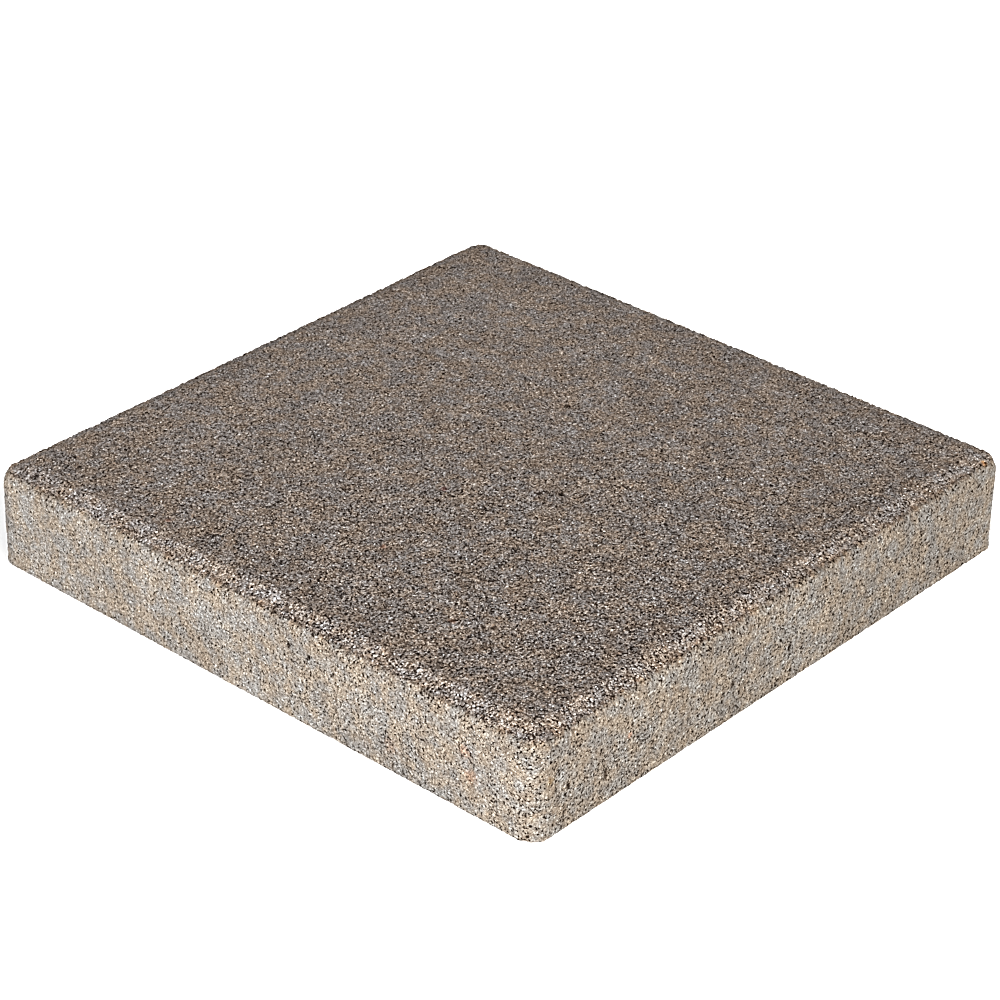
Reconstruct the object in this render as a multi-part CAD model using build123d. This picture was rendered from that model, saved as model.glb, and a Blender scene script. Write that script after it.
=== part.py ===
from build123d import *
import os

# A square concrete paving slab, pressed as one piece and lying flat.
# Millimetres, with the origin at the middle of the underside and +Z up.

# Overall size
slab_side = 298.0
slab_thickness = 46.5

# Rounding of the four upright corners, seen in plan
corner_radius = 9.6

# Shallow bevel that the press leaves round the walking face
bevel_inset = 9.9  # from the upright side to the edge of the flat top
bevel_drop = 3.1  # from the flat top down to the break line
flat_corner_radius = 4.3  # corners of the flat top, seen in plan

# Shoulder worn round between the break line and the upright side
shoulder_inset = 2.6  # from the upright side in to the break line
shoulder_drop = 7.2  # from the break line down to the upright side

# Lower edge, where the green concrete rounded off on its board
foot_radius = 1.2

# How far the shape that is cut away stands clear of the slab
cutter_margin = 4.0

# Heights and radii that follow from the sizes above
break_height = slab_thickness - bevel_drop
break_corner_radius = corner_radius - shoulder_inset
shoulder_radius = (shoulder_inset**2 + shoulder_drop**2) / (2 * shoulder_inset)


def plan_outline(inset, radius, height):
    """Rounded square, a given distance in from the upright sides."""
    width = slab_side - 2 * inset
    return Pos(0, 0, height) * RectangleRounded(width, width, radius)


def shoulder_profile():
    """Section to cut away, with X pointing out of the slab and Y pointing down."""
    break_point = (-shoulder_inset, 0)
    tangent_point = (0, shoulder_drop)
    shoulder = RadiusArc(break_point, tangent_point, -shoulder_radius)
    surround = Polyline(
        tangent_point,
        (cutter_margin, shoulder_drop),
        (cutter_margin, -cutter_margin),
        (-shoulder_inset, -cutter_margin),
        break_point,
    )
    return make_face(shoulder + surround)


def upright_block():
    """Straight-sided block up to the break line, with its shoulder rounded off."""
    footprint = plan_outline(0, corner_radius, 0)
    block = extrude(footprint, amount=break_height)
    rim = plan_outline(0, corner_radius, break_height).wire()
    along = rim % 0
    outward = along.cross(Vector(0, 0, 1))
    section_plane = Plane(origin=rim @ 0, x_dir=outward, z_dir=along)
    cutter = sweep(section_plane * shoulder_profile(), path=rim)
    return block - cutter


def bevelled_top():
    """Frustum from the break line to the flat top: four flat bevels and coned corners."""
    lower = plan_outline(shoulder_inset, break_corner_radius, break_height)
    upper = plan_outline(bevel_inset, flat_corner_radius, slab_thickness)
    return loft([lower, upper], ruled=True)


def paving_slab():
    """The whole slab, with its lower edge rounded."""
    slab = upright_block() + bevelled_top()
    lower_edges = slab.edges().group_by(Axis.Z)[0]
    return fillet(lower_edges, radius=foot_radius)


slab = paving_slab()
slab.label = "paving_slab"

os.makedirs("parts", exist_ok=True)
export_step(slab, "parts/paving_slab.step")

print("solids", len(slab.solids()), "valid", slab.is_valid)
print("volume in litres", round(slab.volume / 1e6, 4))
print("shoulder radius", round(shoulder_radius, 2))
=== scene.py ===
import math

import bmesh
import bpy
from mathutils import Matrix, Vector


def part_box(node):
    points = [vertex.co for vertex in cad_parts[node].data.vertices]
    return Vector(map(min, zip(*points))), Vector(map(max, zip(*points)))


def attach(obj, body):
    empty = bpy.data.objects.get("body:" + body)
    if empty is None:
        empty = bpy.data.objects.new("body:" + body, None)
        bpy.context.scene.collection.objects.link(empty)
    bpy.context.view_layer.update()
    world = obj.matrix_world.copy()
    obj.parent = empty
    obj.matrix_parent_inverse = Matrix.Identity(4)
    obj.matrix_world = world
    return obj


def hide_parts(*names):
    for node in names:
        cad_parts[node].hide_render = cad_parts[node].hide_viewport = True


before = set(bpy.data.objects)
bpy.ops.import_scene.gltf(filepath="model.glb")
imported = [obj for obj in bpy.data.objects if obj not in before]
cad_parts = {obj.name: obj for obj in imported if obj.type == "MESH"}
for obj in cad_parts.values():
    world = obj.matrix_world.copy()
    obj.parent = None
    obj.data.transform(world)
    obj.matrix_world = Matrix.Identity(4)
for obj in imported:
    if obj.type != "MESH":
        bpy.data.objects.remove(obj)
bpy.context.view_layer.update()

# A pressed concrete paving slab, square, with a shallow bevel round its walking face.
# The frame holds its exact form. Here it gets its sandy, worn and porous surface.

slabLow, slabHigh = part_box("paving_slab")
mm = 0.001  # lengths below are written in millimetres times this

halfSide = slabHigh.x
topHeight = slabHigh.z

castEdge = {
    "breakInset": 2.6 * mm,  # upright side to the break line
    "breakDrop": 3.1 * mm,  # flat top down to the break line
    "flatInset": 9.9 * mm,  # upright side to the edge of the flat top
}
breakHeight = topHeight - castEdge["breakDrop"]
print("frame loaded, slab", [round(v / mm, 1) for v in slabHigh - slabLow], "mm")


# Small helpers for node trees of all kinds

nodeGrid = {"perRow": 10, "across": 190, "down": 230}  # where nodes stand in the editor


def addNode(tree, kind, **settings):
    node = tree.nodes.new(kind)
    row, column = divmod(len(tree.nodes), nodeGrid["perRow"])
    node.location = (column * nodeGrid["across"], -row * nodeGrid["down"])
    for name, value in settings.items():
        setattr(node, name, value)
    return node


def feed(tree, socket, value):  # links another socket, or sets a plain value
    if isinstance(value, bpy.types.NodeSocket):
        tree.links.new(value, socket)
    else:
        socket.default_value = value


def feedAll(tree, node, values):
    for socket, value in zip(node.inputs, values):
        feed(tree, socket, value)
    return node.outputs[0]


def calc(tree, operation, *values):
    return feedAll(tree, addNode(tree, "ShaderNodeMath", operation=operation), values)


def vectorCalc(tree, operation, *values):
    return feedAll(tree, addNode(tree, "ShaderNodeVectorMath", operation=operation), values)


def combined(tree, x, y, z):
    return feedAll(tree, addNode(tree, "ShaderNodeCombineXYZ"), (x, y, z))


def split(tree, vector):
    node = addNode(tree, "ShaderNodeSeparateXYZ")
    feed(tree, node.inputs[0], vector)
    return node.outputs


def product(tree, first, *others):
    for other in others:
        first = calc(tree, "MULTIPLY", first, other)
    return first


def scaled(tree, vector, amount):
    node = addNode(tree, "ShaderNodeVectorMath", operation="SCALE")
    feed(tree, node.inputs[0], vector)
    feed(tree, node.inputs["Scale"], amount)
    return node.outputs[0]


def stretched(tree, place, upward):  # patterns grow long up the sides where upward is under 1
    return vectorCalc(tree, "MULTIPLY", place, combined(tree, 1.0, 1.0, upward))


def blendIn(tree, value, low, high, start=0.0, end=1.0):  # smooth step between two limits
    node = addNode(tree, "ShaderNodeMapRange", interpolation_type="SMOOTHSTEP")
    for name, given in (("Value", value), ("From Min", low), ("From Max", high),
                        ("To Min", start), ("To Max", end)):
        feed(tree, node.inputs[name], given)
    return node.outputs["Result"]


def fadeOut(tree, value, low, high):  # 1 below the lower limit, 0 above the higher one
    return blendIn(tree, value, low, high, 1.0, 0.0)


noiseKinds = {  # detail and roughness
    "smooth": (1.0, 0.5),
    "plain": (2.0, 0.5),
    "rough": (2.0, 0.6),
    "frayed": (2.0, 0.7),
    "clouded": (3.0, 0.5),
    "jagged": (3.0, 0.6),
    "torn": (3.0, 0.65),
}


def noise(tree, place, size, kind):  # size is one blob, in metres
    detail, roughness = noiseKinds[kind]
    node = addNode(tree, "ShaderNodeTexNoise")
    feed(tree, node.inputs["Vector"], place)
    feed(tree, node.inputs["Scale"], calc(tree, "DIVIDE", 1.0, size))
    feed(tree, node.inputs["Detail"], detail)
    feed(tree, node.inputs["Roughness"], roughness)
    return node.outputs[0]


def cells(tree, place, size):  # size is one cell, in metres
    node = addNode(tree, "ShaderNodeTexVoronoi", feature="F1")
    feed(tree, node.inputs["Vector"], place)
    feed(tree, node.inputs["Scale"], calc(tree, "DIVIDE", 1.0, size))
    return node.outputs


def insetFromSides(tree, place):  # how far in from the nearest upright side, and the height
    x, y, z = split(tree, place)
    outermost = calc(tree, "MAXIMUM", calc(tree, "ABSOLUTE", x), calc(tree, "ABSOLUTE", y))
    return calc(tree, "SUBTRACT", halfSide, outermost), z


def awayFromBreak(tree, inset, height):  # distance to the break line
    across = calc(tree, "SUBTRACT", inset, castEdge["breakInset"])
    above = calc(tree, "SUBTRACT", height, breakHeight)
    squares = calc(tree, "ADD", product(tree, across, across), product(tree, above, above))
    return calc(tree, "SQRT", squares)


def nearness(tree, place, centre, halfSize):  # 0 at the centre of a mark, 1 at its edge
    offset = vectorCalc(tree, "SUBTRACT", place, tuple(v * mm for v in centre))
    node = addNode(tree, "ShaderNodeVectorMath", operation="LENGTH")
    shares = vectorCalc(tree, "MULTIPLY", offset, tuple(1 / (v * mm) for v in halfSize))
    feed(tree, node.inputs[0], shares)
    return node.outputs["Value"]


def groupSockets(tree, inputs, outputs):  # inputs: name -> (kind, value)
    for name, (kind, value) in inputs.items():
        socket = tree.interface.new_socket(name, in_out="INPUT", socket_type=kind)
        if value is not None:
            socket.default_value = value
    for name, kind in outputs.items():
        tree.interface.new_socket(name, in_out="OUTPUT", socket_type=kind)
    source = addNode(tree, "NodeGroupInput")
    sink = addNode(tree, "NodeGroupOutput")
    return source.outputs, sink.inputs


def setModifierInputs(modifier, values):
    for item in modifier.node_group.interface.items_tree:
        if item.item_type == "SOCKET" and item.in_out == "INPUT" and item.name in values:
            modifier[item.identifier] = values[item.name]


# Helpers for objects

def addObject(name, data):
    made = bpy.data.objects.new(name, data)
    bpy.context.scene.collection.objects.link(made)
    return made


def plainMesh(obj, name):  # the evaluated result as an ordinary mesh object, in place of the old one
    graph = bpy.context.evaluated_depsgraph_get()
    mesh = bpy.data.meshes.new_from_object(obj.evaluated_get(graph))
    mesh.name = name
    bpy.data.objects.remove(obj)
    return addObject(name, mesh)


def triangles(mesh):
    return sum(len(face.vertices) - 2 for face in mesh.polygons)


# Camera, from the photograph's viewing angle

cameraView = {
    "aim": (0.0015, 0.0031, 0.0233),  # point in the middle of the picture
    "azimuth": 48.69,  # look direction, degrees from +Y towards +X
    "elevation": 30.52,
    "distance": 1.4094,
    "roll": 1.074,
    "focalPixels": 3363.4,  # on a picture as wide as the next value
    "pictureWidth": 1000,
    "sensorWidth": 36,
    "clipStart": 0.05,
}


slabFaces = {"left": (0, slabLow.x), "right": (1, slabLow.y), "top": (2, topHeight)}  # axis and level


def cameraAxes():
    azimuth = math.radians(cameraView["azimuth"])
    elevation = math.radians(cameraView["elevation"])
    roll = math.radians(cameraView["roll"])
    back = Vector((-math.sin(azimuth) * math.cos(elevation),
                   -math.cos(azimuth) * math.cos(elevation),
                   math.sin(elevation)))
    level = Vector((math.cos(azimuth), -math.sin(azimuth), 0))
    rise = back.cross(level)
    right = level * math.cos(roll) + rise * math.sin(roll)
    return right, back.cross(right), back


def seenOn(face, point, sunk=0.0):  # where a point of the photograph lies on the slab, in millimetres
    right, up, back = cameraAxes()
    x, y = (value - cameraView["pictureWidth"] / 2 for value in point)
    ray = (right * x - up * y) / cameraView["focalPixels"] - back
    eye = Vector(cameraView["aim"]) + back * cameraView["distance"]
    axis, level = slabFaces[face]
    place = [round(value / mm, 1) for value in eye + ray * ((level - eye[axis]) / ray[axis])]
    place[axis] = round(place[axis] - sunk, 1)
    return tuple(place)


def addCamera():
    right, up, back = cameraAxes()
    data = bpy.data.cameras.new("viewCamera")
    data.sensor_width = cameraView["sensorWidth"]
    data.lens = cameraView["focalPixels"] / cameraView["pictureWidth"] * data.sensor_width
    data.clip_start = cameraView["clipStart"]
    camera = addObject("viewCamera", data)
    turn = Matrix((right, up, back)).transposed().to_4x4()
    spot = Vector(cameraView["aim"]) + back * cameraView["distance"]
    camera.matrix_world = Matrix.Translation(spot) @ turn
    bpy.context.scene.camera = camera


addCamera()
print("camera placed")


# The slab's body: the cast form, remeshed finely, then worn, pitted and dragged

slabMesh = {
    "mergeWithin": 0.01 * mm,
    "voxelSize": 0.8 * mm,
    "mostTriangles": 190000,
}

slabWear = {
    "Swell": 0.26 * mm,  # outwards first, so that the wear below stays close to the cast form
    "Lump Size": 11 * mm,
    "Lump Depth": 0.16 * mm,
    "Grit Size": 2.3 * mm,
    "Grit Depth": 0.42 * mm,
    "Pit Size": 5.2 * mm,  # one cell, which holds one pit at most
    "Pit Radius": 1.05 * mm,
    "Pit Depth": 0.9 * mm,
    "Pit Share": 0.22,  # cells that hold a pit
    "Pit Share By Arris": 0.6,  # added to that along the break line
    "Crumb Size": 1.9 * mm,
    "Crumb Depth": 0.95 * mm,
    "Crumb Width": 2.0 * mm,  # how far from the break line it crumbles
    "Drag Size": 2.6 * mm,
    "Drag Stretch": 0.09,  # how much slower the marks change with height
    "Drag Depth": 0.24 * mm,
    "Foot Size": 2.6 * mm,
    "Foot Depth": 0.55 * mm,  # chips along the lower edge
    "Foot Fill": 0.45 * mm,  # makes up for what remeshing takes off the lower edge
    "Paste Depth": 0.15 * mm,  # how far the paste stays inside the cast form at the sides
    "Press Depth": 0.20 * mm,  # and below the walking face
    "Face Depth": 0.55 * mm,  # further wear of the face and bevel, so that the sand stands out of them
}

wearLimits = {  # noise levels, heights and distances over which each kind of wear sets in
    "grit": (0.35, 0.75),
    "crumb": (0.49, 0.62),
    "chip": (0.50, 0.64),
    "ownPit": (0.45, 1.0),
    "underside": (0.05 * mm, 0.5 * mm),  # which stays nearly flat
    "sideInset": (1.2 * mm, 2.6 * mm),
    "sideHeight": (breakHeight - 5 * mm, breakHeight - 1 * mm),
    "footHeight": (0.0, 2.5 * mm),
    "footInset": (0.5 * mm, 3.0 * mm),
    "fillHeight": (0.6 * mm, 2.4 * mm),
    "face": (breakHeight, breakHeight + 1 * mm),
}

pitShape = {
    "squash": 0.7,  # below 1, pits grow taller than wide
    "leastRadius": 0.35,  # share of the pit radius, to which a random share is added
    "floor": 0.3,  # flat middle, as a share of the pit's own radius
    "arrisShare": 0.6,  # how much a crumbled place counts as a pit, for the painted shade in hollows
}

# Pits that stand out on their own: centre and half size of each, in millimetres
ownPits = {
    "tallNearCorner": (seenOn("right", (606, 774)), (1.3, 1.5, 3.2)),
    "smallNearCorner": (seenOn("right", (569, 786)), (1.1, 1.5, 2.3)),
    "rightQuarter": (seenOn("right", (733, 685)), (1.2, 1.5, 2.3)),
    "rightMiddle": (seenOn("right", (790, 648)), (1.2, 1.5, 2.2)),
    "leftMiddle": (seenOn("left", (288, 645)), (1.5, 1.0, 1.9)),
    "leftMiddleTwin": (seenOn("left", (308, 658)), (1.5, 1.1, 1.5)),
    "topMiddle": (seenOn("top", (539, 492), 0.5), (1.8, 2.1, 1.6)),
    "topMiddleTwin": (seenOn("top", (561, 493), 0.5), (1.3, 3.2, 1.6)),
    "topLeft": (seenOn("top", (438, 499), 0.5), (1.7, 2.6, 1.6)),
    "topFar": (seenOn("top", (568, 405), 0.5), (1.6, 2.1, 1.6)),
    "leftCorner": (seenOn("top", (34, 472), 1.7), (2.4, 2.6, 1.8)),
}


def heldBetween(tree, geometry, low, high):  # the press flattens whatever would stand out
    spot = addNode(tree, "GeometryNodeInputPosition").outputs[0]
    node = addNode(tree, "GeometryNodeSetPosition")
    feed(tree, node.inputs["Geometry"], geometry)
    feed(tree, node.inputs["Position"],
         vectorCalc(tree, "MINIMUM", vectorCalc(tree, "MAXIMUM", spot, low), high))
    return node.outputs[0]


def moved(tree, geometry, direction, distance):
    node = addNode(tree, "GeometryNodeSetPosition")
    feed(tree, node.inputs["Geometry"], geometry)
    feed(tree, node.inputs["Offset"], scaled(tree, direction, distance))
    return node.outputs[0]


def stored(tree, geometry, name, value):  # a number on each point, for the materials to read
    node = addNode(tree, "GeometryNodeStoreNamedAttribute", data_type="FLOAT", domain="POINT")
    for socket, given in (("Geometry", geometry), ("Name", name), ("Value", value)):
        feed(tree, node.inputs[socket], given)
    return node.outputs[0]


def realized(tree, geometry):
    return feedAll(tree, addNode(tree, "GeometryNodeRealizeInstances"), (geometry,))


def coated(tree, geometry, material):
    node = addNode(tree, "GeometryNodeSetMaterial")
    feed(tree, node.inputs["Geometry"], geometry)
    node.inputs["Material"].default_value = bpy.data.materials[material]
    return node.outputs[0]


def scatteredPits(tree, place, onArris, given):  # one to a cell at most, more of them near the arris
    cell = cells(tree, stretched(tree, place, pitShape["squash"]), given["Pit Size"])
    chance, spread = split(tree, cell["Color"])[:2]
    radius = product(tree, given["Pit Radius"], calc(tree, "ADD", spread, pitShape["leastRadius"]))
    reach = calc(tree, "DIVIDE", radius, given["Pit Size"])
    bowl = fadeOut(tree, cell["Distance"], product(tree, reach, pitShape["floor"]), reach)
    share = calc(tree, "ADD", given["Pit Share"], product(tree, onArris, given["Pit Share By Arris"]))
    return product(tree, bowl, calc(tree, "LESS_THAN", chance, share))


def buildWearTree():
    tree = bpy.data.node_groups.new("wornConcrete", "GeometryNodeTree")
    inputs = {"Geometry": ("NodeSocketGeometry", None)}
    for name, value in slabWear.items():
        inputs[name] = ("NodeSocketFloat", value)
    given, result = groupSockets(tree, inputs, {"Geometry": "NodeSocketGeometry"})
    place = addNode(tree, "GeometryNodeInputPosition").outputs[0]
    normal = addNode(tree, "GeometryNodeInputNormal").outputs[0]
    inset, height = insetFromSides(tree, place)

    lumps = noise(tree, place, given["Lump Size"], "smooth")
    grit = blendIn(tree, noise(tree, place, given["Grit Size"], "jagged"), *wearLimits["grit"])

    onArris = fadeOut(tree, awayFromBreak(tree, inset, height), 0.0, given["Crumb Width"])
    crumbs = blendIn(tree, noise(tree, place, given["Crumb Size"], "rough"), *wearLimits["crumb"])
    arris = product(tree, onArris, crumbs)

    pits = scatteredPits(tree, place, onArris, given)
    for centre, halfSize in ownPits.values():
        own = fadeOut(tree, nearness(tree, place, centre, halfSize), *wearLimits["ownPit"])
        pits = calc(tree, "MAXIMUM", pits, own)

    # upright drag marks on the sides
    onSide = product(tree, fadeOut(tree, inset, *wearLimits["sideInset"]),
                     fadeOut(tree, height, *wearLimits["sideHeight"]))
    drawnOut = stretched(tree, place, given["Drag Stretch"])
    drags = product(tree, noise(tree, drawnOut, given["Drag Size"], "frayed"), onSide)

    # chips along the lower edge
    nearFoot = product(tree, fadeOut(tree, height, *wearLimits["footHeight"]),
                       fadeOut(tree, inset, *wearLimits["footInset"]))
    broken = blendIn(tree, noise(tree, place, given["Foot Size"], "rough"), *wearLimits["chip"])
    chips = product(tree, nearFoot, broken)

    depth = product(tree, lumps, given["Lump Depth"])
    for pattern, amount in ((grit, "Grit Depth"), (arris, "Crumb Depth"), (pits, "Pit Depth"),
                            (drags, "Drag Depth"), (chips, "Foot Depth")):
        depth = calc(tree, "MULTIPLY_ADD", pattern, given[amount], depth)
    filling = product(tree, fadeOut(tree, height, *wearLimits["fillHeight"]), given["Foot Fill"])
    depth = calc(tree, "SUBTRACT", calc(tree, "SUBTRACT", depth, given["Swell"]), filling)
    onFace = blendIn(tree, height, *wearLimits["face"])
    depth = calc(tree, "MULTIPLY_ADD", onFace, given["Face Depth"], depth)
    depth = product(tree, depth, blendIn(tree, height, *wearLimits["underside"]))

    # painted shade: pits and the crumbled arris are marked, so the paste is darkened there
    hollowShadeMask = calc(tree, "MAXIMUM", pits, product(tree, arris, pitShape["arrisShare"]))
    marked = stored(tree, given["Geometry"], "hollowShadeMask", hollowShadeMask)
    worn = moved(tree, marked, normal, product(tree, depth, -1.0))

    margin = combined(tree, given["Paste Depth"], given["Paste Depth"], given["Press Depth"])
    sidesOnly = vectorCalc(tree, "MULTIPLY", margin, (1, 1, 0))
    pressed = heldBetween(tree, worn, vectorCalc(tree, "ADD", tuple(slabLow), sidesOnly),
                          vectorCalc(tree, "SUBTRACT", tuple(slabHigh), margin))
    feed(tree, result["Geometry"], coated(tree, realized(tree, pressed), "pressedConcrete"))
    return tree


def buildSlab():
    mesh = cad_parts["paving_slab"].data.copy()
    form = bmesh.new()
    form.from_mesh(mesh)
    bmesh.ops.remove_doubles(form, verts=form.verts, dist=slabMesh["mergeWithin"])
    form.to_mesh(mesh)
    form.free()
    raw = addObject("slab_raw", mesh)
    even = raw.modifiers.new("even", "REMESH")
    even.mode = "VOXEL"
    even.voxel_size = slabMesh["voxelSize"]
    worn = raw.modifiers.new("worn", "NODES")
    worn.node_group = buildWearTree()
    setModifierInputs(worn, slabWear)
    fine = plainMesh(raw, "slab_fine")
    thin = fine.modifiers.new("thin", "DECIMATE")
    thin.ratio = slabMesh["mostTriangles"] / triangles(fine.data)
    slab = plainMesh(fine, "slab_casting")
    for face in slab.data.polygons:
        face.use_smooth = True
    return slab


# Sand grains that stand out of the paste, part buried

# Grains to a square metre, least and most radius, and the part of the grain colours they draw from
sandScatter = {
    "sand_drab": {"Density": 290000, "Least": 0.34 * mm, "Most": 0.78 * mm, "Seed": 11,
                  "Pick From": 0.15, "Pick To": 0.66},
    "sand_dark": {"Density": 270000, "Least": 0.32 * mm, "Most": 0.70 * mm, "Seed": 12,
                  "Pick From": 0.00, "Pick To": 0.30},
    "sand_tan": {"Density": 240000, "Least": 0.34 * mm, "Most": 0.80 * mm, "Seed": 13,
                 "Pick From": 0.60, "Pick To": 0.89},
    "sand_pale": {"Density": 180000, "Least": 0.30 * mm, "Most": 0.66 * mm, "Seed": 14,
                  "Pick From": 0.82, "Pick To": 0.99},
}

sandBuried = {  # how deep a grain sits, as a share of its radius
    "Buried": 0.1,
    "Buried Bevel": 0.32,
    "Buried Side": 0.52,
}

sandGrain = {  # a crushed grain is a cone with this many corners round its base
    "corners": 3,
    "height": 1.4,  # against a base of radius 1
    "squatLeast": (0.7, 0.7, 0.6),
    "squatMost": (1.2, 1.1, 1.0),
    "turnSeed": 100,  # these are added to the layer's own seed
    "squatSeed": 200,
    "pickSeed": 300,
}

sandLimits = {  # heights between which the layers change
    "bare": (0.5 * mm, 1.5 * mm),  # no grains below this
    "bevel": (breakHeight - 1 * mm, breakHeight),
    "flat": (topHeight - 2.2 * mm, topHeight - 1 * mm),
}


def randomValue(tree, seed, low, high):
    several = isinstance(low, tuple)
    node = addNode(tree, "FunctionNodeRandomValue", data_type="FLOAT_VECTOR" if several else "FLOAT")
    first, result = (0, 0) if several else (2, 1)  # its sockets for vectors come before those for numbers
    feed(tree, node.inputs[first], low)
    feed(tree, node.inputs[first + 1], high)
    feed(tree, node.inputs["Seed"], seed)
    return node.outputs[result]


def crushedGrain(tree):
    cone = addNode(tree, "GeometryNodeMeshCone", fill_type="NGON")
    for name, value in (("Vertices", sandGrain["corners"]), ("Side Segments", 1), ("Radius Top", 0.0),
                        ("Radius Bottom", 1.0), ("Depth", sandGrain["height"])):
        cone.inputs[name].default_value = value
    centred = addNode(tree, "GeometryNodeTransform")
    feed(tree, centred.inputs["Geometry"], cone.outputs["Mesh"])
    centred.inputs["Translation"].default_value = (0, 0, -sandGrain["height"] / 4)  # its centre of mass
    return centred.outputs[0]


def buildScatterTree():
    tree = bpy.data.node_groups.new("sandScatter", "GeometryNodeTree")
    inputs = {"Geometry": ("NodeSocketGeometry", None), "Seed": ("NodeSocketInt", 1)}
    for name in ("Density", "Least", "Most", "Pick From", "Pick To"):
        inputs[name] = ("NodeSocketFloat", sandScatter["sand_drab"][name])
    for name, value in sandBuried.items():
        inputs[name] = ("NodeSocketFloat", value)
    given, result = groupSockets(tree, inputs, {"Geometry": "NodeSocketGeometry"})
    place = addNode(tree, "GeometryNodeInputPosition").outputs[0]
    height = split(tree, place)[2]
    seed = given["Seed"]

    spread = addNode(tree, "GeometryNodeDistributePointsOnFaces")
    feed(tree, spread.inputs["Mesh"], given["Geometry"])
    feed(tree, spread.inputs["Density"],
         product(tree, given["Density"], blendIn(tree, height, *sandLimits["bare"])))
    feed(tree, spread.inputs["Seed"], seed)

    size = randomValue(tree, seed, given["Least"], given["Most"])
    turn = randomValue(tree, calc(tree, "ADD", seed, sandGrain["turnSeed"]), (0, 0, 0),
                       (math.tau, math.tau, math.tau))
    squat = randomValue(tree, calc(tree, "ADD", seed, sandGrain["squatSeed"]),
                        sandGrain["squatLeast"], sandGrain["squatMost"])
    pick = randomValue(tree, calc(tree, "ADD", seed, sandGrain["pickSeed"]),
                       given["Pick From"], given["Pick To"])

    buried = blendIn(tree, height, *sandLimits["bevel"], given["Buried Side"], given["Buried Bevel"])
    buried = blendIn(tree, height, *sandLimits["flat"], buried, given["Buried"])
    sunk = moved(tree, stored(tree, spread.outputs["Points"], "pick", pick),
                 spread.outputs["Normal"], product(tree, size, buried, -1.0))

    grains = addNode(tree, "GeometryNodeInstanceOnPoints")
    for name, value in (("Points", sunk), ("Instance", crushedGrain(tree)), ("Rotation", turn),
                        ("Scale", scaled(tree, squat, size))):
        feed(tree, grains.inputs[name], value)
    pressed = heldBetween(tree, realized(tree, grains.outputs[0]), tuple(slabLow), tuple(slabHigh))
    feed(tree, result["Geometry"], coated(tree, realized(tree, pressed), "looseSand"))
    return tree


def scatterSand(slab):
    tree = buildScatterTree()
    for name, values in sandScatter.items():
        carrier = addObject(name + "_carrier", slab.data)
        scatter = carrier.modifiers.new("scatter", "NODES")
        scatter.node_group = tree
        setModifierInputs(scatter, values)
        sand = plainMesh(carrier, name)
        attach(sand, "root")
        print(name, triangles(sand.data), "triangles")


# Materials

sandColors = {  # share of the grains, brightness against the paste, and warmth
    "black": (0.13, 0.20, 0.02),
    "umber": (0.19, 0.52, 0.03),
    "drab": (0.27, 0.95, 0.0),
    "slate": (0.12, 1.05, -0.03),
    "beige": (0.16, 1.42, 0.01),
    "rust": (0.03, 1.10, 0.16),
    "pale": (0.08, 2.00, 0.0),
    "white": (0.02, 2.80, -0.01),
}

brightestTone = {"grain": 5.0, "curve": 4.0}  # colour ramps hold values up to 1, scaled by these


def buildColorGroup():  # a random number picks a grain colour, given relative to the average grain
    tree = bpy.data.node_groups.new("grainColors", "ShaderNodeTree")
    given, result = groupSockets(tree, {"Pick": ("NodeSocketFloat", 0.5)}, {"Color": "NodeSocketColor"})
    node = addNode(tree, "ShaderNodeValToRGB")
    node.color_ramp.interpolation = "CONSTANT"
    elements = node.color_ramp.elements
    while len(elements) < len(sandColors):
        elements.new(0.5)
    average = sum(share * bright for share, bright, warmth in sandColors.values())
    position = 0.0
    for element, (share, bright, warmth) in zip(elements, sandColors.values()):
        level = bright / average / brightestTone["grain"]
        element.position = position
        element.color = (level * (1 + warmth), level, level * (1 - warmth), 1)
        position += share
    feed(tree, node.inputs[0], given["Pick"])
    feed(tree, result["Color"], scaled(tree, node.outputs[0], brightestTone["grain"]))
    return tree


earthTone = {
    "Brown": 0.11,  # how much redder the dark parts are
    "Blue": 0.08,  # how much less blue they are
    "darkest": 0.02,
}


def buildToneGroup():  # darkens and lightens; dark parts turn browner and bright parts greyer
    tree = bpy.data.node_groups.new("earthTone", "ShaderNodeTree")
    inputs = {"Color": ("NodeSocketColor", (0.5, 0.5, 0.5, 1)), "Grain": ("NodeSocketColor", (1, 1, 1, 1)),
              "Tone": ("NodeSocketFloat", 1.0)}
    for name in ("Brown", "Blue"):
        inputs[name] = ("NodeSocketFloat", earthTone[name])
    given, result = groupSockets(tree, inputs, {"Color": "NodeSocketColor"})
    green = split(tree, given["Grain"])[1]
    level = calc(tree, "MAXIMUM", product(tree, green, given["Tone"]), earthTone["darkest"])
    red = calc(tree, "POWER", level, product(tree, given["Brown"], -1.0))
    blue = calc(tree, "POWER", level, given["Blue"])
    color = vectorCalc(tree, "MULTIPLY", given["Color"], given["Grain"])
    color = vectorCalc(tree, "MULTIPLY", color, combined(tree, red, 1.0, blue))
    feed(tree, result["Color"], scaled(tree, color, given["Tone"]))
    return tree


packing = {  # distance from a grain's centre, as a share of its size
    "gap": (0.45, 0.75),
    "crown": (0.0, 0.8),
}


def buildSandGroup():  # grains packed side by side, at one size
    tree = bpy.data.node_groups.new("packedSand", "ShaderNodeTree")
    given, result = groupSockets(
        tree,
        {"Vector": ("NodeSocketVector", None), "Size": ("NodeSocketFloat", 1 * mm)},
        {"Pick": "NodeSocketFloat", "Tone": "NodeSocketFloat", "Gap": "NodeSocketFloat",
         "Height": "NodeSocketFloat"})
    grain = cells(tree, given["Vector"], given["Size"])
    pick, tone = split(tree, grain["Color"])[:2]
    crown = fadeOut(tree, grain["Distance"], *packing["crown"])
    feed(tree, result["Pick"], pick)
    feed(tree, result["Tone"], tone)
    feed(tree, result["Gap"], blendIn(tree, grain["Distance"], *packing["gap"]))
    feed(tree, result["Height"], product(tree, crown, given["Size"]))
    return tree


poreShape = {"leastRadius": 0.4, "floor": 0.5}  # the same shares as for pits, above


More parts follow.
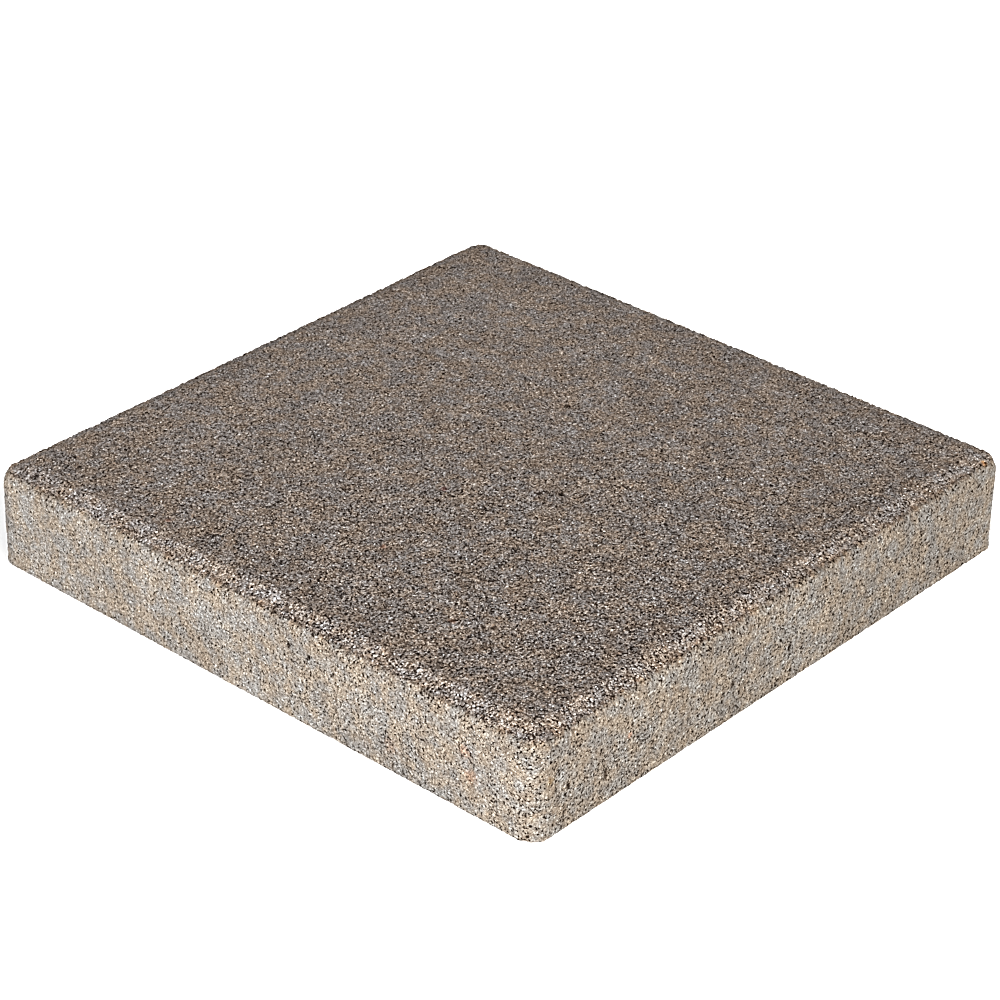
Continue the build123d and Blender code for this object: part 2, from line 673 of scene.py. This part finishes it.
def buildPoreGroup():  # small open pores, scattered
    tree = bpy.data.node_groups.new("openPores", "ShaderNodeTree")
    given, result = groupSockets(
        tree,
        {"Vector": ("NodeSocketVector", None), "Size": ("NodeSocketFloat", 3 * mm),
         "Radius": ("NodeSocketFloat", 0.25), "Share": ("NodeSocketFloat", 0.5)},
        {"Pore": "NodeSocketFloat"})
    cell = cells(tree, given["Vector"], given["Size"])
    chance, spread = split(tree, cell["Color"])[:2]
    reach = product(tree, given["Radius"], calc(tree, "ADD", spread, poreShape["leastRadius"]))
    opened = fadeOut(tree, cell["Distance"], product(tree, reach, poreShape["floor"]), reach)
    feed(tree, result["Pore"], product(tree, opened, calc(tree, "LESS_THAN", chance, given["Share"])))
    return tree


def useGroup(tree, group, **values):
    node = addNode(tree, "ShaderNodeGroup", node_tree=group)
    for name, value in values.items():
        feed(tree, node.inputs[name], value)
    return node.outputs


def mixColors(tree, kind, amount, first, second):
    node = addNode(tree, "ShaderNodeMix", data_type="RGBA", blend_type=kind)
    factor, firstColor, secondColor = node.inputs[0], node.inputs[6], node.inputs[7]
    for socket, value in ((factor, amount), (firstColor, first), (secondColor, second)):
        feed(tree, socket, (*value, 1) if isinstance(value, tuple) else value)
    return node.outputs[2]


dryGloss = 0.25  # specular level of every surface, all dry and dusty


def newMaterial(name, roughness):
    material = bpy.data.materials.new(name)
    material.use_nodes = True
    shader = material.node_tree.nodes["Principled BSDF"]
    shader.inputs["Roughness"].default_value = roughness
    shader.inputs["Specular IOR Level"].default_value = dryGloss
    return material, shader


def objectPlace(tree):
    return addNode(tree, "ShaderNodeTexCoord").outputs["Object"]


def toneCurve(tree, value, stops):  # stops: position and brightness
    node = addNode(tree, "ShaderNodeValToRGB")
    elements = node.color_ramp.elements
    while len(elements) < len(stops):
        elements.new(0.5)
    for element, (position, bright) in zip(elements, stops):
        level = bright / brightestTone["curve"]
        element.position = position
        element.color = (level, level, level, 1)
    feed(tree, node.inputs[0], value)
    return product(tree, node.outputs[0], brightestTone["curve"])


def byPlace(tree, onFace, ends):  # one value at the sides and another on the walking face
    return blendIn(tree, onFace, 0.0, 1.0, *ends)


# Marks and colours that depend on where a point lies, shared by both materials

patterns = {  # blob size, kind of noise, the levels where it sets in and what it runs from and to
    "opened": (9 * mm, "jagged", 0.35, 0.65),
    "warmth": (7 * mm, "plain", 0.32, 0.68),
    "brown": (3.4 * mm, "rough", 0.46, 0.60),
    "mottle": (16 * mm, "clouded", 0.3, 0.7, 0.91, 1.09),
    "streaks": (2.2 * mm, "jagged", 0.3, 0.7, 0.9, 1.1),
    "broken": (1.5 * mm, "torn", 0.40, 0.54),
    "dust": (0.5 * mm, "plain", 0.3, 0.7, 0.7, 1.2),
}

places = {  # heights, insets and distances where one kind of surface passes into another
    "onFace": (breakHeight - 0.5 * mm, breakHeight),
    "nearArris": (0.3 * mm, 1.4 * mm),
    "byArris": (0.8 * mm, 3.2 * mm),
    "lowDown": (8 * mm, 34 * mm),
    "onFlat": (castEdge["flatInset"] - 0.8 * mm, castEdge["flatInset"] + 0.8 * mm),
    "rim": (castEdge["flatInset"], 36 * mm, 0.93, 1.03),  # the last two are what it runs from and to
    "worn": (-0.26, 0.26, 1.25, 0.7),  # the near corner is more worn than the far one; the bevel's painted light rises the same way
}

openings = {
    "raggedSize": 2.0 * mm,  # makes the border of the walking face uneven
    "raggedHeight": 1.4 * mm,
    "shakeSize": 0.7 * mm,  # makes the outlines of pores and pits uneven
    "shakePores": 0.9 * mm,
    "shakePits": 0.8,
    "poreSize": 1.3 * mm,
    "poreRadius": 0.33,  # a share of the cell, like the next radius
    "holeSize": 3.6 * mm,
    "holeRadius": 0.2,
    "holeShare": 0.6,  # against the share of pores
    "share": {"everywhere": 0.3, "opened": 0.35, "nearArris": 0.1, "lowDown": 0.1},
    "gapSize": 1.2 * mm,
    "gapShift": {"opened": -0.035, "nearArris": -0.02, "onFace": -0.025, "moreWorn": -0.08},
    "gapLevels": (0.332, 0.372),
    "pitLevels": (0.9, 1.4),
}

pasteColors = {
    "side": (0.176, 0.152, 0.130),
    "face": (0.166, 0.138, 0.122),
    "coolTint": (0.93, 1.0, 1.08),
    "warmTint": (1.075, 1.0, 0.89),
    "brownTint": (1.08, 0.98, 0.89),
    "blotchSize": 1.6 * mm,  # makes the outlines of stains uneven
    "blotch": 1.2,
    "stainLevels": (0.8, 1.6),
}

ownStains = {  # centre and radius in millimetres, and tint
    "rustNearCorner": (seenOn("left", (464, 752)), 4.2, (1.20, 0.90, 0.74)),
    "rustUnderIt": (seenOn("left", (471, 777)), 4.6, (1.14, 0.92, 0.80)),
    "leftFoot": ((-149, -76.0, 12.0), 5.0, (1.10, 0.95, 0.86)),
    "ochreNearCorner": (seenOn("right", (551, 782)), 2.6, (1.00, 0.82, 0.55)),
    "rustRight": ((-95.0, -149, 24.0), 2.0, (1.25, 0.88, 0.74)),
    "umberFarLeft": (seenOn("top", (168, 519), 0.3), 2.2, (0.90, 0.58, 0.46)),
    "umberMiddle": (seenOn("top", (444, 488), 0.3), 2.2, (0.80, 0.46, 0.44)),
    "rustTop": (seenOn("top", (383, 546), 0.3), 2.0, (1.00, 0.72, 0.62)),
    "rustTopNear": ((-108.0, -70.0, 46.2), 2.4, (1.15, 0.80, 0.62)),
    "ochreRightCorner": ((137.0, -146.5, 43.4), 1.8, (1.50, 1.00, 0.55)),
    "ochreStone": ((137.5, -145.0, 44.2), 1.2, (2.20, 1.50, 0.60)),
    "whiteChip": ((99.6, -147.0, 43.8), 0.8, (3.00, 3.00, 3.20)),
    "whiteChipEnd": ((101.0, -145.6, 44.4), 0.9, (3.00, 3.00, 3.20)),
    "brightStoneFar": (seenOn("top", (393, 431), 0.3), 0.9, (2.20, 2.20, 2.20)),
    "brightStoneLeft": (seenOn("top", (402, 540), 0.3), 0.9, (2.20, 2.20, 2.20)),
}

shades = {
    "streakStretch": 0.06,
    "arris": -0.37,  # painted shade, in a ragged line where the break line is broken
    # painted shade in open pores, crooked gaps and pits
    "pore": -0.93,
    "bevel": 0.15,  # the bevel is a little brighter than the flat
    "bevelLitNear": 0.4,  # painted light: brighter still towards the near corner, as if lit from the front
}


def patches(tree, place, name):
    size, kind, *limits = patterns[name]
    return blendIn(tree, noise(tree, place, size, kind), *limits)


def buildOpenings(tree, place, groups, masks):  # pores, holes, crooked gaps and the single pits
    shake = noise(tree, place, openings["shakeSize"], "smooth")
    uneven = vectorCalc(tree, "ADD", place, scaled(tree, shake, openings["shakePores"]))
    share = openings["share"]["everywhere"]
    for name in ("opened", "nearArris", "lowDown"):
        share = calc(tree, "MULTIPLY_ADD", masks[name], openings["share"][name], share)
    share = product(tree, share, masks["worn"])
    pores = useGroup(tree, groups["pore"], Vector=uneven, Size=openings["poreSize"],
                     Radius=openings["poreRadius"], Share=share)
    holes = useGroup(tree, groups["pore"], Vector=uneven, Size=openings["holeSize"],
                     Radius=openings["holeRadius"], Share=product(tree, share, openings["holeShare"]))

    # crooked gaps between the grains, where a noise field is low
    crooked = noise(tree, place, openings["gapSize"], "rough")
    for name, shift in openings["gapShift"].items():
        crooked = calc(tree, "MULTIPLY_ADD", masks[name], shift, crooked)
    gaps = fadeOut(tree, crooked, *openings["gapLevels"])
    opening = calc(tree, "MAXIMUM", calc(tree, "MAXIMUM", pores["Pore"], holes["Pore"]), gaps)
    for centre, halfSize in ownPits.values():
        near = calc(tree, "ADD", nearness(tree, place, centre, halfSize),
                    product(tree, shake, openings["shakePits"]))
        opening = calc(tree, "MAXIMUM", opening, fadeOut(tree, near, *openings["pitLevels"]))
    return opening


def buildPaste(tree, place, masks):
    paste = mixColors(tree, "MIX", masks["onFace"], pasteColors["side"], pasteColors["face"])
    tint = mixColors(tree, "MIX", patches(tree, place, "warmth"),
                     pasteColors["coolTint"], pasteColors["warmTint"])
    paste = mixColors(tree, "MULTIPLY", 1.0, paste, tint)
    brown = product(tree, fadeOut(tree, masks["away"], *places["byArris"]), patches(tree, place, "brown"))
    paste = mixColors(tree, "MULTIPLY", brown, paste, pasteColors["brownTint"])
    blotchy = product(tree, noise(tree, place, pasteColors["blotchSize"], "rough"), pasteColors["blotch"])
    for centre, radius, tint in ownStains.values():
        far = calc(tree, "ADD", nearness(tree, place, centre, (radius, radius, radius)), blotchy)
        stain = fadeOut(tree, far, *pasteColors["stainLevels"])
        paste = mixColors(tree, "MULTIPLY", stain, paste, tint)
    return paste


def buildShade(tree, place, masks, opening):
    streaks = patches(tree, stretched(tree, place, shades["streakStretch"]), "streaks")
    # painted shade along the broken break line, as if in its crevices
    broken = product(tree, masks["nearArris"], patches(tree, place, "broken"))
    arris = calc(tree, "MULTIPLY_ADD", broken, shades["arris"], 1.0)
    # painted light: the bevel brightens towards the near corner, as if lit from the front
    lit = calc(tree, "MULTIPLY_ADD", masks["moreWorn"], shades["bevelLitNear"], shades["bevel"])
    bevel = calc(tree, "MULTIPLY_ADD", masks["onFace"], lit, 1.0)
    onFlat = blendIn(tree, masks["inset"], *places["onFlat"])
    flat = blendIn(tree, masks["inset"], *places["rim"])
    face = calc(tree, "MULTIPLY_ADD", calc(tree, "SUBTRACT", flat, bevel), onFlat, bevel)
    # painted shade: pores, gaps and pits darkened nearly to black
    pore = calc(tree, "MULTIPLY_ADD", opening, shades["pore"], 1.0)
    return product(tree, patches(tree, place, "mottle"), streaks, arris, face, pore)


def buildMarksGroup(groups):
    tree = bpy.data.node_groups.new("castMarks", "ShaderNodeTree")
    given, result = groupSockets(
        tree,
        {"Vector": ("NodeSocketVector", None)},
        {"Paste": "NodeSocketColor", "On Face": "NodeSocketFloat", "Worn": "NodeSocketFloat",
         "Pore": "NodeSocketFloat", "Shade": "NodeSocketFloat"})
    place = given["Vector"]
    inset, height = insetFromSides(tree, place)
    ragged = calc(tree, "SUBTRACT", noise(tree, place, openings["raggedSize"], "rough"), 0.5)
    level = calc(tree, "MULTIPLY_ADD", ragged, openings["raggedHeight"], height)
    away = awayFromBreak(tree, inset, height)
    worn = blendIn(tree, calc(tree, "ADD", *split(tree, place)[:2]), *places["worn"])
    masks = {
        "inset": inset,
        "away": away,
        "onFace": blendIn(tree, level, *places["onFace"]),
        "nearArris": fadeOut(tree, away, *places["nearArris"]),
        "lowDown": fadeOut(tree, height, *places["lowDown"]),
        "opened": patches(tree, place, "opened"),
        "worn": worn,
        # drives the wear of the gaps and the bevel's painted light
        "moreWorn": calc(tree, "SUBTRACT", worn, 1.0),
    }
    opening = buildOpenings(tree, place, groups, masks)
    # Shade holds painted shade in pores, gaps, pits and along the broken arris, and the bevel's painted
    # light, with real mottle and streaks
    for name, value in (("Paste", buildPaste(tree, place, masks)), ("On Face", masks["onFace"]),
                        ("Worn", worn), ("Pore", opening),
                        ("Shade", buildShade(tree, place, masks, opening))):
        feed(tree, result[name], value)
    return tree


pasteLook = {
    "roughness": 0.92,
    "fineSize": 0.5 * mm,
    "grainSize": 0.9 * mm,
    "grainColors": (0.32, 0.7),  # how plain grain colours are, at the sides and on the walking face
    "fineGrains": (0.62, 1.0),  # the skin of paste on the sides hides the finest grains
    "fineTones": ((0, 0.45), (0.5, 0.92), (0.85, 1.35), (1, 1.8)),
    "grainTone": 1.1,
    # painted shade between the grains
    "gapShade": -0.5,
    # painted shade in pits and on the crumbled arris
    "hollowShade": -0.4,
    "fineRelief": 0.3,
    "grainRelief": 0.5,
    "poreRelief": -0.6 * mm,
}


def buildConcrete(groups):
    material, shader = newMaterial("pressedConcrete", pasteLook["roughness"])
    tree = material.node_tree
    place = objectPlace(tree)
    marks = useGroup(tree, groups["marks"], Vector=place)
    fine = useGroup(tree, groups["sand"], Vector=place, Size=pasteLook["fineSize"])
    grain = useGroup(tree, groups["sand"], Vector=place, Size=pasteLook["grainSize"])

    show = product(tree, byPlace(tree, marks["On Face"], pasteLook["grainColors"]), marks["Worn"])
    picked = useGroup(tree, groups["color"], Pick=grain["Pick"])["Color"]
    picked = mixColors(tree, "MIX", show, (1, 1, 1), picked)
    bare = byPlace(tree, marks["On Face"], pasteLook["fineGrains"])
    fineTone = calc(tree, "SUBTRACT", toneCurve(tree, fine["Tone"], pasteLook["fineTones"]), 1.0)
    fineTone = calc(tree, "MULTIPLY_ADD", fineTone, bare, 1.0)
    # painted shade in the gaps between the grains, with the grains a little lighter
    gapShade = calc(tree, "MULTIPLY_ADD", product(tree, grain["Gap"], bare),
                   pasteLook["gapShade"], pasteLook["grainTone"])
    # painted shade in pits and on the crumbled arris
    hollowShadeMask = addNode(tree, "ShaderNodeAttribute", attribute_name="hollowShadeMask").outputs["Fac"]
    hollowShade = calc(tree, "MULTIPLY_ADD", hollowShadeMask, pasteLook["hollowShade"], 1.0)
    tone = product(tree, fineTone, gapShade, hollowShade, marks["Shade"])
    feed(tree, shader.inputs["Base Color"],
         useGroup(tree, groups["tone"], Color=marks["Paste"], Grain=picked, Tone=tone)["Color"])

    raised = product(tree, fine["Height"], pasteLook["fineRelief"])
    raised = calc(tree, "MULTIPLY_ADD", grain["Height"], pasteLook["grainRelief"], raised)
    raised = calc(tree, "MULTIPLY_ADD", marks["Pore"], pasteLook["poreRelief"], raised)
    bump = addNode(tree, "ShaderNodeBump")
    bump.inputs["Strength"].default_value = 1.0
    bump.inputs["Distance"].default_value = 1.0
    feed(tree, bump.inputs["Height"], raised)
    feed(tree, shader.inputs["Normal"], bump.outputs[0])


looseLook = {
    "roughness": 0.75,
    "grainColors": (0.3, 0.8),
    "dust": (0.84, 0.94),  # how bright dusty grains are, at the sides and on the walking face
}


def buildLooseSand(groups):
    material, shader = newMaterial("looseSand", looseLook["roughness"])
    tree = material.node_tree
    place = objectPlace(tree)
    marks = useGroup(tree, groups["marks"], Vector=place)
    pick = addNode(tree, "ShaderNodeAttribute", attribute_name="pick").outputs["Fac"]
    picked = useGroup(tree, groups["color"], Pick=pick)["Color"]
    show = product(tree, byPlace(tree, marks["On Face"], looseLook["grainColors"]), marks["Worn"])
    picked = mixColors(tree, "MIX", show, (1, 1, 1), picked)
    dust = product(tree, patches(tree, place, "dust"), byPlace(tree, marks["On Face"], looseLook["dust"]))
    tone = product(tree, dust, marks["Shade"])
    feed(tree, shader.inputs["Base Color"],
         useGroup(tree, groups["tone"], Color=marks["Paste"], Grain=picked, Tone=tone)["Color"])


groups = {"sand": buildSandGroup(), "pore": buildPoreGroup(), "color": buildColorGroup(),
          "tone": buildToneGroup()}
groups["marks"] = buildMarksGroup(groups)
buildConcrete(groups)
buildLooseSand(groups)
print("materials built")

slab = buildSlab()
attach(slab, "root")
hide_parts("paving_slab")
print("slab built,", triangles(slab.data), "triangles")
scatterSand(slab)


# Floor and studio light

studio = {
    "floorSize": 14.0,
    "floorColor": (0.93, 0.93, 0.93, 1),
    "floorRoughness": 0.9,
    "skyColor": (1, 1, 1, 1),
    "skyStrength": 0.75,
    "sunStrength": 3.2,
    "sunFrom": (0.0, -0.84, 0.50),
    "sunDistance": 3,
    "sunSoftness": 35,  # degrees across
    "sunColor": (1.0, 0.97, 0.93),
    "lampSize": 0.4,
    "lamps": {  # power, where it stands, distance and colour
        "keyLight": (12.8, (-0.98, 0.0, 0.20), 1.0, (0.985, 1.0, 1.02)),
        "fillLight": (4.5, (-0.5, -0.71, 0.5), 0.75, (1.0, 0.98, 0.92)),
    },
    "pixelFilter": 1.5,
}

crispness = {
    "strength": 1.0,
    "reach": 4,  # pixels
    "whiteFrom": 0.97,  # what is brighter, above all the floor, stays as it is
    "leastShare": 0.01,
    "screenGamma": 2.2,
}


def addFloor():
    half = studio["floorSize"] / 2
    corners = [(-half, -half, 0), (half, -half, 0), (half, half, 0), (-half, half, 0)]
    mesh = bpy.data.meshes.new("studio_floor")
    mesh.from_pydata(corners, [], [(0, 1, 2, 3)])
    floor = addObject("studio_floor", mesh)
    material, shader = newMaterial("paleFloor", studio["floorRoughness"])
    shader.inputs["Base Color"].default_value = studio["floorColor"]
    mesh.materials.append(material)


def addLight(name, kind, origin, distance, color, energy):
    data = bpy.data.lights.new(name, kind)
    data.color = color
    data.energy = energy
    light = addObject(name, data)
    towards = Vector(origin).normalized()
    light.location = towards * distance
    light.rotation_euler = towards.to_track_quat("Z", "Y").to_euler()
    return data


def addSky():
    world = bpy.data.worlds.new("studioWorld")
    world.use_nodes = True
    sky = world.node_tree.nodes["Background"]
    sky.inputs["Color"].default_value = studio["skyColor"]
    sky.inputs["Strength"].default_value = studio["skyStrength"]
    bpy.context.scene.world = world


def addStudio():
    addFloor()
    sun = addLight("sunLight", "SUN", studio["sunFrom"], studio["sunDistance"],
                   studio["sunColor"], studio["sunStrength"])
    sun.angle = math.radians(studio["sunSoftness"])
    for name, (power, origin, distance, color) in studio["lamps"].items():
        lamp = addLight(name, "AREA", origin, distance, color, power)
        lamp.size = studio["lampSize"]
    addSky()
    scene = bpy.context.scene
    scene.view_settings.view_transform = "Standard"
    scene.view_settings.look = "None"
    scene.cycles.pixel_filter_type = "BLACKMAN_HARRIS"
    scene.cycles.filter_width = studio["pixelFilter"]


def pictureCalc(tree, operation, *values):
    return feedAll(tree, addNode(tree, "CompositorNodeMath", operation=operation), values)


def withGamma(tree, picture, power):
    return feedAll(tree, addNode(tree, "CompositorNodeGamma"), (picture, power))


def blurred(tree, picture):
    node = addNode(tree, "CompositorNodeBlur", filter_type="GAUSS")
    node.size_x = crispness["reach"]
    node.size_y = crispness["reach"]
    feed(tree, node.inputs["Image"], picture)
    return node.outputs[0]


def addSharpening():  # the photograph was sharpened too, before the slab was set on white
    scene = bpy.context.scene
    scene.use_nodes = True
    tree = scene.node_tree
    tree.nodes.clear()
    layers = addNode(tree, "CompositorNodeRLayers")
    shown = withGamma(tree, layers.outputs["Image"], 1 / crispness["screenGamma"])
    level = feedAll(tree, addNode(tree, "CompositorNodeRGBToBW"), (shown,))
    inside = pictureCalc(tree, "LESS_THAN", level, crispness["whiteFrom"])  # 1 on the slab, 0 on white
    share = pictureCalc(tree, "MAXIMUM", blurred(tree, inside), crispness["leastShare"])
    around = blurred(tree, pictureCalc(tree, "MULTIPLY", level, inside))
    around = pictureCalc(tree, "DIVIDE", around, share)
    detail = pictureCalc(tree, "MULTIPLY", pictureCalc(tree, "SUBTRACT", level, around), inside)
    detail = pictureCalc(tree, "MULTIPLY", detail, crispness["strength"])
    crisp = feedAll(tree, addNode(tree, "CompositorNodeMixRGB", blend_type="ADD"), (1.0, shown, detail))
    final = addNode(tree, "CompositorNodeComposite")
    feed(tree, final.inputs["Image"], withGamma(tree, crisp, crispness["screenGamma"]))


addStudio()
addSharpening()
print("studio ready")
